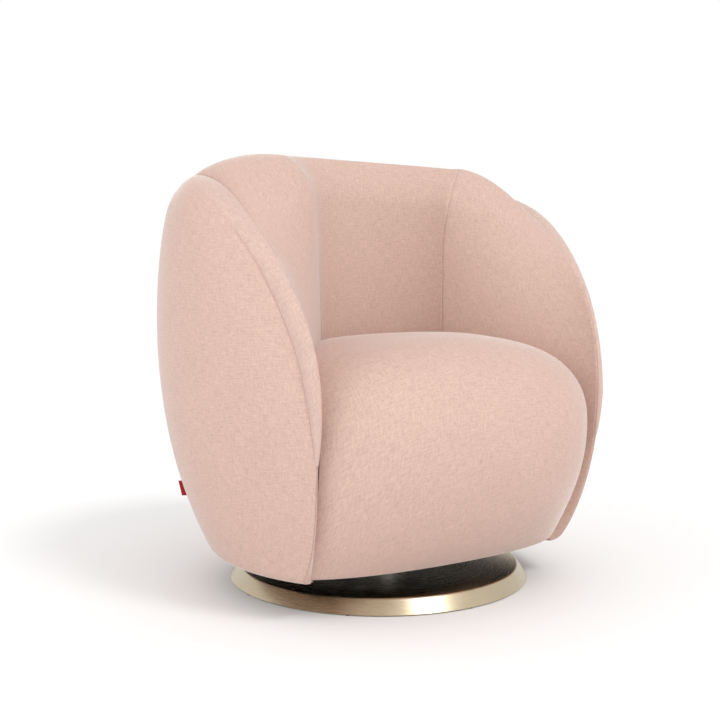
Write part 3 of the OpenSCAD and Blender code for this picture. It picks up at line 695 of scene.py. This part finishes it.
def plywood(name, colour):
    """Raw ply with stretched figure and pores."""
    g = Graph(name)
    xyz = g.node("ShaderNodeTexCoord").outputs["Object"]
    figure = g.noise(g.stretched(xyz, (1.2, 1.2, 14)), 16, 5, 0.6)
    pores = g.noise(g.stretched(xyz, (3, 3, 40)), 90, 3, 0.6)
    tone = g.math("ADD", g.ramp(figure, 0.3, 0.7, 0.85, 1.1), g.ramp(pores, 0.35, 0.7, -0.06, 0.03))
    g.set(Base_Color=g.shade(colour, tone), Roughness=0.7)
    g.bump(pores, 0.2, 0.0005)
    return g.material


def plain_cloth(name, colour):
    """Non-woven cloth with a fine pressed pattern."""
    g = Graph(name)
    xyz = g.node("ShaderNodeTexCoord").outputs["Object"]
    cells = g.node("ShaderNodeTexVoronoi", Vector=xyz, Scale=600.0).outputs["Distance"]
    fibre = g.noise(xyz, 260, 4, 0.6)
    g.set(Base_Color=g.shade(colour, g.ramp(fibre, 0.3, 0.7, 0.8, 1.3)), Roughness=0.95,
          Specular_IOR_Level=0.1)
    g.bump(g.math("ADD", cells, fibre), 0.3, 0.0004)
    return g.material


BLUSH = (0.565, 0.398, 0.338, 1)
LINEN = woven("blush_linen", BLUSH)
SEAT_LINEN = woven("blush_linen_seat", BLUSH)
# The facing's linen is a shade lighter and paler than the rest of the same fabric: painted highlight for
# the sheen along its edges.
FACING_LINEN_PAINTED_SHEEN = woven("blush_linen_facing_painted_sheen", (0.57, 0.410, 0.352, 1))
CHAMPAGNE = brushed_metal("champagne_satin", (0.50, 0.42, 0.295, 1), 0.27, "ring", 0.02)
THREAD = moulded("seam_thread", (0.60, 0.38, 0.31, 1), 0.8)
STEEL = powder_coat("black_powder_coat", (0.018, 0.018, 0.020, 1))
ZINC = brushed_metal("zinc_plate", (0.60, 0.61, 0.62, 1), 0.35, "x")
BALL_STEEL = brushed_metal("ground_steel", (0.68, 0.68, 0.70, 1), 0.16, "ring", 0.03)
IRON = powder_coat("cast_iron", (0.05, 0.05, 0.052, 1), 0.75)
RUBBER = moulded("black_rubber", (0.012, 0.012, 0.012, 1), 0.7)
NYLON = moulded("ivory_nylon", (0.72, 0.69, 0.60, 1), 0.45)
PLY = plywood("birch_ply", (0.56, 0.38, 0.21, 1))
DUST_CLOTH = plain_cloth("black_dust_cloth", (0.012, 0.012, 0.012, 1))
TAG_CLOTH = woven("tag_tape", (0.36, 0.022, 0.030, 1), 0.1)


# ---- upholstery ---------------------------------------------------------------------
def turned_under(g):
    """Adds rows that carry the cloth under the bottom frame."""
    depth, rows = 0.030, 4
    last = g[-1]
    inward = -last * np.array([1, 1, 0])
    inward /= np.maximum(np.linalg.norm(inward, axis=1, keepdims=True), 1e-9)
    rise = np.array([0, 0, 0.2])
    extra = [last + (inward + rise) * depth * (k + 1) / rows for k in range(rows)]
    return np.concatenate([g, np.array(extra)])


def back_grid(share):
    """The back panel: up the inside, over the crest and down the outside."""
    lifts = list(np.linspace(0.0, WALL_SHARE, 26)) + list(np.linspace(0.465, EDGE_SHARE, 12))
    lifts += list(np.linspace(0.62, 1, 26))
    rows = [[inner_pt(lerp(-seam_angle(t), seam_angle(t), u), t) for u in share] for t in lifts]
    falls = [k * k / 0.3 if k < 0.3 else k for k in np.linspace(0, 1, 64)[1:]]
    for k in falls:
        angles = [lerp(-SEAM_B, SEAM_B, u) for u in share]
        rows.append([outer_pt(b, lerp(shoulder_z(b), BODY_BOTTOM, k)) for b in angles])
    heights = [max(lerp(APEX_Z, BODY_BOTTOM, k), BODY_BOTTOM + ABOVE_HEM) for k in falls]
    return turned_under(np.array(rows)), lifts, heights


def make_back():
    share = spaced(46, 0.0045)
    g, lifts, heights = back_grid(share)
    right = np.array([long_seam_dir(t) for t in lifts] + [outer_normal(z) for z in heights])
    right = np.concatenate([right, np.repeat(right[-1:], len(g) - len(right), 0)])
    g = sewn(g, {"first": mirrored(right), "last": right}, 1)
    return cloth_object("back_upholstery", [g], True, LINEN)


def hand(grids, flip):
    """The grids of a right-hand piece, mirrored when flip asks for the left-hand one."""
    return [mirrored(g) for g in grids] if flip else grids


def make_inner_arm(side, flip):
    """The inner arm and the strip below its tip, sewn as one, with the strip's edge tucked behind."""
    lifts = list(np.linspace(0, 0.95, 56)) + [0.965, 0.98, 0.99, 0.997]
    arm = grid_of(inner_arm_pt, lifts, ARM_COLS)
    dirs = {"first": np.array([long_seam_dir(t) for t in lifts]),
            "last": np.array([inner_seam_dir(1 - t) for t in lifts])}
    arm = sewn(arm, dirs, 3)
    drops = list(np.linspace(1, 0.85, 8)) + list(np.linspace(0.81, 0.03, 22)) + [0]
    strip = grid_of(strip_pt, drops, ARM_COLS[VALLEY_COL:])
    dirs = {"last": np.array([outer_seam_dir(lerp(TIP_SHARE, 1, s)) for s in drops])}
    strip = drawn_in(strip, grid_normals(strip, True), dirs, 4)
    strip = parted(strip, dirs)
    strip[-1] = arm[0, VALLEY_COL + 2:-2]
    dirs["last"][-1] = unit(arm[0, -3] - arm[0, -1])
    strip = with_flanges(strip, dirs)
    behind = np.array([-0.010, 0.014, -0.018])
    foot = arm[0, 2:VALLEY_COL + 3]
    edge, back = strip[:, 0], behind * np.array([1, 1, -0.5])
    tucks = [np.stack([foot + behind, foot]), np.stack([edge + back, edge], 1)]
    grids = hand([arm, strip] + tucks, flip)
    return cloth_object("inner_arm_upholstery_" + side, grids, not flip, LINEN)


def make_facing(side, flip):
    rows = list(np.linspace(0.004, 0.996, 90))
    g = grid_of(facing_pt, rows, spaced(8, 0.02))
    dirs = {"first": np.array([outer_seam_dir(TIP_SHARE * s) for s in rows]),
            "last": np.array([inner_seam_dir(s) for s in rows])}
    return cloth_object("facing_" + side, hand([sewn(g, dirs, 5)], flip), not flip, FACING_LINEN_PAINTED_SHEEN)


def make_side(side, flip):
    rows = [0.0005, 0.003] + list(np.linspace(0.008, 0.94, 64)) + list(np.linspace(0.952, 1, 12))
    g = grid_of(side_pt, rows, spaced(34, 0.006))
    first = np.array([outer_normal(max(front_seam(s)[2], BODY_BOTTOM + ABOVE_HEM)) for s in rows])
    last = np.array([outer_seam_dir(s) for s in rows])
    near = np.array([smooth(s / 0.03) for s in rows])[:, None]
    apex = outer_seam_dir(0)
    dirs = {"first": apex + (first - apex) * near, "last": last}
    g = turned_under(sewn(g, dirs, 7))
    return cloth_object("side_upholstery_" + side, hand([g], flip), not flip, LINEN)


def seat_cloth(g):
    """Cloth coordinates of the seat: straight across, and along each column from the back edge."""
    start = -g[:1, :, 1] + g[0, g.shape[1] // 2, 1]
    return np.stack([g[..., 0], start + lengths(g, 0)], 2)


def make_seat():
    """The seat as one shell, stuffed by cloth simulation."""
    rows = list(np.linspace(0, 1, 96))
    cols = [2 * x - 1 for x in spaced(72, 0.004)]
    g = grid_of(seat_pt, rows, cols)
    under = g[-1:] + np.array([[[0, k, -0.002]] for k in (0.010, 0.020, 0.030)])
    g = np.concatenate([g, under])
    outward = g - np.array(SEAT_MIDDLE)
    outward /= np.linalg.norm(outward, axis=2, keepdims=True)
    mesh = shell_mesh("seat_cushion", g, outward, SEAT_SHELL, cloth=seat_cloth(g))
    tidy_normals(mesh)
    seat = new_object("seat_cushion", mesh, SEAT_LINEN)
    n, m = g.shape[:2]
    held = np.ones(2 * n * m, bool)
    free = np.zeros((n, m), bool)
    free[3:-6, 3:-3] = True
    held[:n * m] = ~free.ravel()
    stuff(seat, held)
    return refine(seat)


def make_tag():
    """A small plain loop of tape caught in the rear seam."""
    foot = outer_pt(-SEAM_B, TAG_Z)
    out = unit(np.array([-sin_d(SEAM_B) - 0.25, cos_d(SEAM_B) - 0.30, 0.0]))
    across, half = np.array([-out[1], out[0], 0.0]), 0.0012
    loop = [(-0.002, half), (0.006, half), (0.0105, half), (0.0122, half * 0.7), (0.0128, 0),
            (0.0122, -half * 0.7), (0.0105, -half), (0.006, -half), (-0.002, -half)]
    g = np.array([[foot + out * d + across * w + np.array([0, 0, z]) for d, w in loop]
                  for z in np.linspace(-TAG_HALF_HEIGHT, TAG_HALF_HEIGHT, 12)])
    g = g + (g - foot)[..., 2:] * TAG_TILT * out
    mesh = shell_mesh("side_tag_tape", g, grid_normals(g, False), 0.0005)
    tidy_normals(mesh)
    return new_object("side_tag_tape", mesh, TAG_CLOTH)


def dust_edge(c, s):
    """Where a ray from the swivel axis meets the dust cloth's edge."""
    reach = 0.0
    for r in np.linspace(0.16, 0.31, 301):
        x, y = r * c, r * s
        in_round = math.hypot(x, y + LEAN_FORWARD) < 0.276
        if in_round and y > -0.194 and (y > -0.150 or abs(x) < 0.187):
            reach = r
    return reach * c, reach * s


def make_dust_cloth():
    """Thin black cloth under the frame, a ring round the mechanism, sagging a little."""
    n, m = 13, 120
    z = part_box("dust_cover")[0].z + 0.0004
    g = np.zeros((n, m, 3))
    for i in range(m):
        a = 2 * math.pi * i / m
        c, s = math.cos(a), math.sin(a)
        hole = min(OPENING_X / max(abs(c), 1e-6), OPENING_Y / max(abs(s), 1e-6))
        x, y = dust_edge(c, s)
        for k in range(n):
            share = k / (n - 1)
            g[k, i] = lerp(hole * c, x, share), lerp(hole * s, y, share), z - SAG * sin_d(180 * share)
    faces = [(i * m + j, i * m + (j + 1) % m, (i + 1) * m + (j + 1) % m, (i + 1) * m + j)
             for i in range(n - 1) for j in range(m)]
    mesh = bpy.data.meshes.new("dust_cloth")
    mesh.from_pydata([tuple(p) for p in g.reshape(-1, 3)], [], faces)
    tidy_normals(mesh)
    cloth = new_object("dust_cloth", mesh, DUST_CLOTH)
    return cloth, sum(p.area for p in mesh.polygons)


def make_base():
    """The round base as one turned dish, with soft corners on the rim."""
    top_r, r = 0.2575, 0.275
    profile = [(0.0, 0.0260), (0.10, 0.0260), (0.20, 0.0260), (top_r - 0.0035, 0.0260),
               (top_r - 0.0015, 0.0257), (top_r - 0.0003, 0.0248), (top_r + 0.0010, 0.0232),
               (r - 0.0012, 0.0030), (r - 0.0004, 0.0022), (r - 0.0008, 0.0016), (r - 0.0020, 0.0015),
               (0.2690, 0.0015), (0.2690, 0.0045), (0.2515, 0.0230), (0.10, 0.0230), (0.0, 0.0230)]
    turns = 192
    verts, faces = [], []
    for k in range(turns):
        a = 2 * math.pi * k / turns
        verts += [(x * math.cos(a), x * math.sin(a), z) for x, z in profile]
    m = len(profile)
    for k in range(turns):
        a, b = k * m, ((k + 1) % turns) * m
        faces += [(a + j, b + j, b + j + 1, a + j + 1) for j in range(m - 1)]
    mesh = bpy.data.meshes.new("base_dish")
    mesh.from_pydata(verts, [], faces)
    tidy_normals(mesh, weld=1e-6)
    mesh.set_sharp_from_angle(angle=math.radians(35))
    return new_object("base_dish", mesh, CHAMPAGNE)


# ---- repeated details by geometry nodes ---------------------------------------------
def along_path_tree(name, inputs):
    """Places a small rounded bar at even steps along curves; inputs are named sizes in metres."""
    tree = bpy.data.node_groups.new(name, "GeometryNodeTree")
    face = tree.interface
    face.new_socket("Path", in_out="INPUT", socket_type="NodeSocketGeometry")
    for key, value in inputs.items():
        face.new_socket(key, in_out="INPUT", socket_type="NodeSocketFloat").default_value = value
    face.new_socket("Bar material", in_out="INPUT", socket_type="NodeSocketMaterial")
    face.new_socket("Bars", in_out="OUTPUT", socket_type="NodeSocketGeometry")
    add, wire = tree.nodes.new, tree.links.new
    start, end = add("NodeGroupInput"), add("NodeGroupOutput")
    curve, points = add("GeometryNodeMeshToCurve"), add("GeometryNodeResampleCurve")
    points.mode = "LENGTH"
    wire(start.outputs["Path"], curve.inputs[0])
    wire(curve.outputs[0], points.inputs["Curve"])
    wire(start.outputs["Pitch"], points.inputs["Length"])
    bar = add("GeometryNodeMeshIcoSphere")
    bar.inputs["Subdivisions"].default_value = 1
    bar.inputs["Radius"].default_value = 1.0
    size = add("ShaderNodeCombineXYZ")
    half = add("ShaderNodeMath")
    half.operation = "MULTIPLY"
    half.inputs[1].default_value = 0.5
    wire(start.outputs["Bar length"], half.inputs[0])
    wire(start.outputs["Thickness"], size.inputs["X"])
    wire(start.outputs["Thickness"], size.inputs["Y"])
    wire(half.outputs[0], size.inputs["Z"])
    tangent, aim = add("GeometryNodeInputTangent"), add("FunctionNodeAlignRotationToVector")
    aim.axis = "Z"
    wire(tangent.outputs[0], aim.inputs["Vector"])
    place, real = add("GeometryNodeInstanceOnPoints"), add("GeometryNodeRealizeInstances")
    paint = add("GeometryNodeSetMaterial")
    wire(points.outputs[0], place.inputs["Points"])
    wire(bar.outputs["Mesh"], place.inputs["Instance"])
    wire(aim.outputs["Rotation"], place.inputs["Rotation"])
    wire(size.outputs[0], place.inputs["Scale"])
    wire(place.outputs[0], real.inputs[0])
    wire(real.outputs[0], paint.inputs["Geometry"])
    wire(start.outputs["Bar material"], paint.inputs["Material"])
    wire(paint.outputs[0], end.inputs[0])
    return tree


def paths_object(name, paths):
    """An object of bare edges along the paths."""
    verts, edges = [], []
    for path in paths:
        first = len(verts)
        verts += [tuple(p) for p in path]
        edges += [(first + i, first + i + 1) for i in range(len(path) - 1)]
    mesh = bpy.data.meshes.new(name)
    mesh.from_pydata(verts, edges, [])
    return new_object(name, mesh)


def bars_along(name, paths, sizes, material):
    """Small bars at even steps along the paths, baked into one mesh."""
    obj = paths_object(name, paths)
    tree = along_path_tree(name + "_tree", sizes)
    mod = obj.modifiers.new("bars", "NODES")
    mod.node_group = tree
    for item in tree.interface.items_tree:
        if item.in_out == "INPUT" and item.name in sizes:
            mod[item.identifier] = sizes[item.name]
        if item.in_out == "INPUT" and item.name == "Bar material":
            mod[item.identifier] = material
    return applied(obj)


def seam_paths(flip):
    """The sewn lines of one side, a little below the cloth's face."""
    long_inner = [inner_pt(seam_angle(t), t) for t in np.linspace(0.06, 1, 120)]
    long_outer = [outer_pt(SEAM_B, z) for z in np.linspace(APEX_Z, BODY_BOTTOM + 0.02, 120)]
    front = [front_seam(s) for s in np.linspace(0.02, 0.97, 140)]
    inner = [bez(INNER_FRONT, s) for s in np.linspace(0, 1, 120)]
    centre, sunk, found = np.array([0, 0, 0.40]), 0.0046, []
    for path in (long_inner, long_outer, front, inner):
        to_centre = centre - np.array(path)
        found.append(path + sunk * to_centre / np.linalg.norm(to_centre, axis=1, keepdims=True))
    return hand(found, flip)


def make_stitches(side, flip):
    sizes = {"Pitch": 0.0042, "Bar length": 0.0030, "Thickness": 0.00045}
    return bars_along("seam_stitches_" + side, seam_paths(flip), sizes, THREAD)


def make_staples():
    """Staples all round, a little inside the dust cloth's edge."""
    path = []
    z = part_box("dust_cover")[0].z - 0.0004
    for a in np.linspace(0, 2 * math.pi, 161):
        x, y = dust_edge(math.cos(a), math.sin(a))
        path.append((x * 0.975, y * 0.975, z))
    sizes = {"Pitch": 0.028, "Bar length": 0.0115, "Thickness": 0.0005}
    return bars_along("dust_cloth_staples", [path], sizes, ZINC)


# ---- putting it together ------------------------------------------------------------
def finish_padded(obj, nodes):
    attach(obj, "tub")
    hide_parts(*nodes)


def upholster():
    finish_padded(make_back(), ["back_cover", "back_foam"])
    finish_padded(make_seat(), ["seat_cover", "seat_foam", "seat_front_foam"])
    for side, flip in (("right", False), ("left", True)):
        finish_padded(make_inner_arm(side, flip), ["inner_arm_cover_" + side, "arm_foam_" + side])
        finish_padded(make_facing(side, flip), ["arm_facing_" + side])
        finish_padded(make_side(side, flip), ["side_cover_" + side])
        stitches = make_stitches(side, flip)
        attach(stitches, "tub")
    tag = make_tag()
    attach(tag, "tub")
    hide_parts("side_tag")


def close_underside():
    cloth, area = make_dust_cloth()
    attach(cloth, "tub")
    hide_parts("dust_cover")
    staples = make_staples()
    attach(staples, "tub")


def finish_base():
    base = make_base()
    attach(base, "base")
    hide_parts("base_disc")


NODE_FINISH = {
    STEEL: ["swivel_post", "swivel_plate", "hanger_left", "hanger_right", "link_front_left",
            "link_front_right", "link_rear_left", "link_rear_right", "rail_left", "rail_right",
            "front_cross_bar", "rear_cross_bar"],
    ZINC: ["base_bolts", "post_washer", "post_nut", "hanger_bolts", "upper_pivot_pins",
           "lower_pivot_pins", "carriage_bolts", "spring_clips", "seat_springs"],
    BALL_STEEL: ["lower_race", "upper_race", "bearing_balls"],
    NYLON: ["ball_cage", "hub_bush", "front_link_bushes", "rear_link_bushes"],
    IRON: ["ballast_plate"],
    RUBBER: ["floor_pads", "stop_bumpers"],
    PLY: ["box_side_left", "box_side_right", "box_front", "box_rear", "bottom_frame", "back_ribs",
          "top_rail", "side_board_left", "side_board_right"],
}


def finish_frame():
    for material, names in NODE_FINISH.items():
        for name in names:
            materials = NODES[name].data.materials
            materials.clear()
            materials.append(material)


# ---- studio -------------------------------------------------------------------------
def pale_floor():
    """A wide pale floor that runs out of sight."""
    mesh = bpy.data.meshes.new("studio_floor")
    half = 30.0
    corners = [(-half, -half, 0), (half, -half, 0), (half, half, 0), (-half, half, 0)]
    mesh.from_pydata(corners, [], [(0, 1, 2, 3)])
    g = Graph("pale_floor")
    g.set(Base_Color=(0.85, 0.85, 0.85, 1), Roughness=0.9, Specular_IOR_Level=0.1)
    floor = new_object("studio_floor", mesh, g.material)


def area_light(name, place, aim, size, power):
    light = bpy.data.lights.new(name, "AREA")
    light.shape = "DISK"
    light.size, light.energy = size, power
    obj = bpy.data.objects.new(name, light)
    obj.location = place
    obj.rotation_euler = (Vector(aim) - Vector(place)).to_track_quat("-Z", "Y").to_euler()
    bpy.context.scene.collection.objects.link(obj)


def studio():
    pale_floor()
    area_light("left_softbox", (-3.0, -0.2, 0.9), (0, 0, 0.3), 2.4, 20)
    area_light("front_softbox", (-0.4, -3.2, 0.7), (0, 0, 0.15), 2.2, 18)
    key = bpy.data.lights.new("key", "SUN")
    key.energy, key.angle = 0.80, math.radians(16)
    lamp = bpy.data.objects.new("key", key)
    lamp.rotation_euler = Vector((-0.30, 1.0, -1.35)).to_track_quat("-Z", "Y").to_euler()
    bpy.context.scene.collection.objects.link(lamp)
    world = bpy.data.worlds.new("studio_air")
    bpy.context.scene.world = world
    world.use_nodes = True
    back = world.node_tree.nodes["Background"]
    back.inputs["Color"].default_value = (1.0, 1.0, 1.0, 1)
    back.inputs["Strength"].default_value = 1.0
    view = bpy.context.scene.view_settings
    view.view_transform = "Standard"
    view.look = "None"


def add_camera():
    data = bpy.data.cameras.new("camera")
    data.lens, data.sensor_width = 52.5, 36.0
    cam = bpy.data.objects.new("camera", data)
    cam.location = (-1.0960, -1.5947, 0.5286)
    heading, pitch = math.radians(-33.48), math.radians(3.90)
    look = Vector((-math.sin(heading) * math.cos(pitch), math.cos(heading) * math.cos(pitch),
                   -math.sin(pitch)))
    cam.rotation_euler = look.to_track_quat("-Z", "Y").to_euler()
    bpy.context.scene.collection.objects.link(cam)
    bpy.context.scene.camera = cam


add_camera()
upholster()
close_underside()
finish_base()
finish_frame()
studio()
